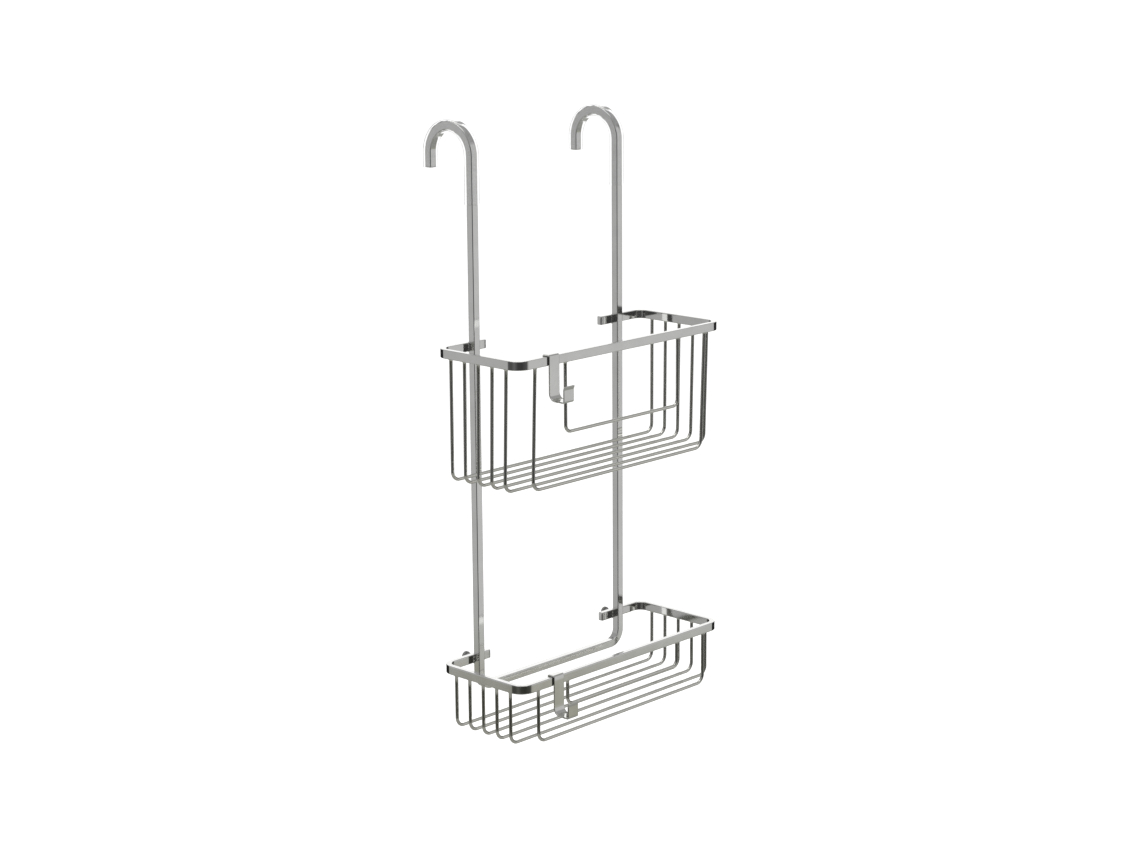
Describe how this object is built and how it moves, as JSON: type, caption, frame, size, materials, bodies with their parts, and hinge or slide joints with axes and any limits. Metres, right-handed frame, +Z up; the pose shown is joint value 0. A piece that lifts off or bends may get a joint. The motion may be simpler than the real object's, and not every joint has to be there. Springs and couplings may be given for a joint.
{
  "type": "shower caddy",
  "caption": "Hanging shower caddy: a bent square-bar frame with sleeved top hooks, a deep and a shallow wire basket, and strip hooks that slide along the rims.",
  "frame": {"origin": "midway between the two top hooks, on the common axis of their bends", "axes": "+X to the right along both hooks and rims, +Z up, -Y towards the front of the baskets"},
  "size_m": [0.302, 0.1917, 0.6073],
  "materials": {
    "chrome_bar": "polished chrome plate on a square bar",
    "chrome_rim": "polished chrome plate on a flat bar",
    "chrome_wire": "polished chrome plate on round wire",
    "chrome_strip": "polished chrome plate on bent strip",
    "clear_sleeve": "clear soft plastic, slightly milky",
    "clear_spacer": "clear plastic",
    "grey_rubber": "soft grey rubber"
  },
  "bodies": {
    "caddy": {"frame": "chrome_bar", "hook_sleeve_left": "clear_sleeve", "hook_sleeve_right": "clear_sleeve", "upper_rim": "chrome_rim", "lower_rim": "chrome_rim", "upper_wire_1": "chrome_wire", "upper_wire_2": "chrome_wire", "upper_wire_3": "chrome_wire", "upper_wire_4": "chrome_wire", "upper_wire_5": "chrome_wire", "upper_wire_6": "chrome_wire", "lower_wire_1": "chrome_wire", "lower_wire_2": "chrome_wire", "lower_wire_3": "chrome_wire", "lower_wire_4": "chrome_wire", "lower_wire_5": "chrome_wire", "lower_wire_6": "chrome_wire", "upper_guard_wire": "chrome_wire", "lower_guard_wire": "chrome_wire", "bumper_spacer_left": "clear_spacer", "bumper_spacer_right": "clear_spacer", "bumper_pad_left": "grey_rubber", "bumper_pad_right": "grey_rubber"},
    "upper_hook": {"upper_sliding_hook": "chrome_strip"},
    "lower_hook": {"lower_sliding_hook": "chrome_strip"}
  },
  "joints": [
    {"name": "upper_hook_slide", "type": "slide", "parent": "caddy", "child": "upper_hook", "axis": [1, 0, 0], "range_m": [-0.025, 0.231]},
    {"name": "lower_hook_slide", "type": "slide", "parent": "caddy", "child": "lower_hook", "axis": [1, 0, 0], "range_m": [-0.028, 0.228]}
  ]
}
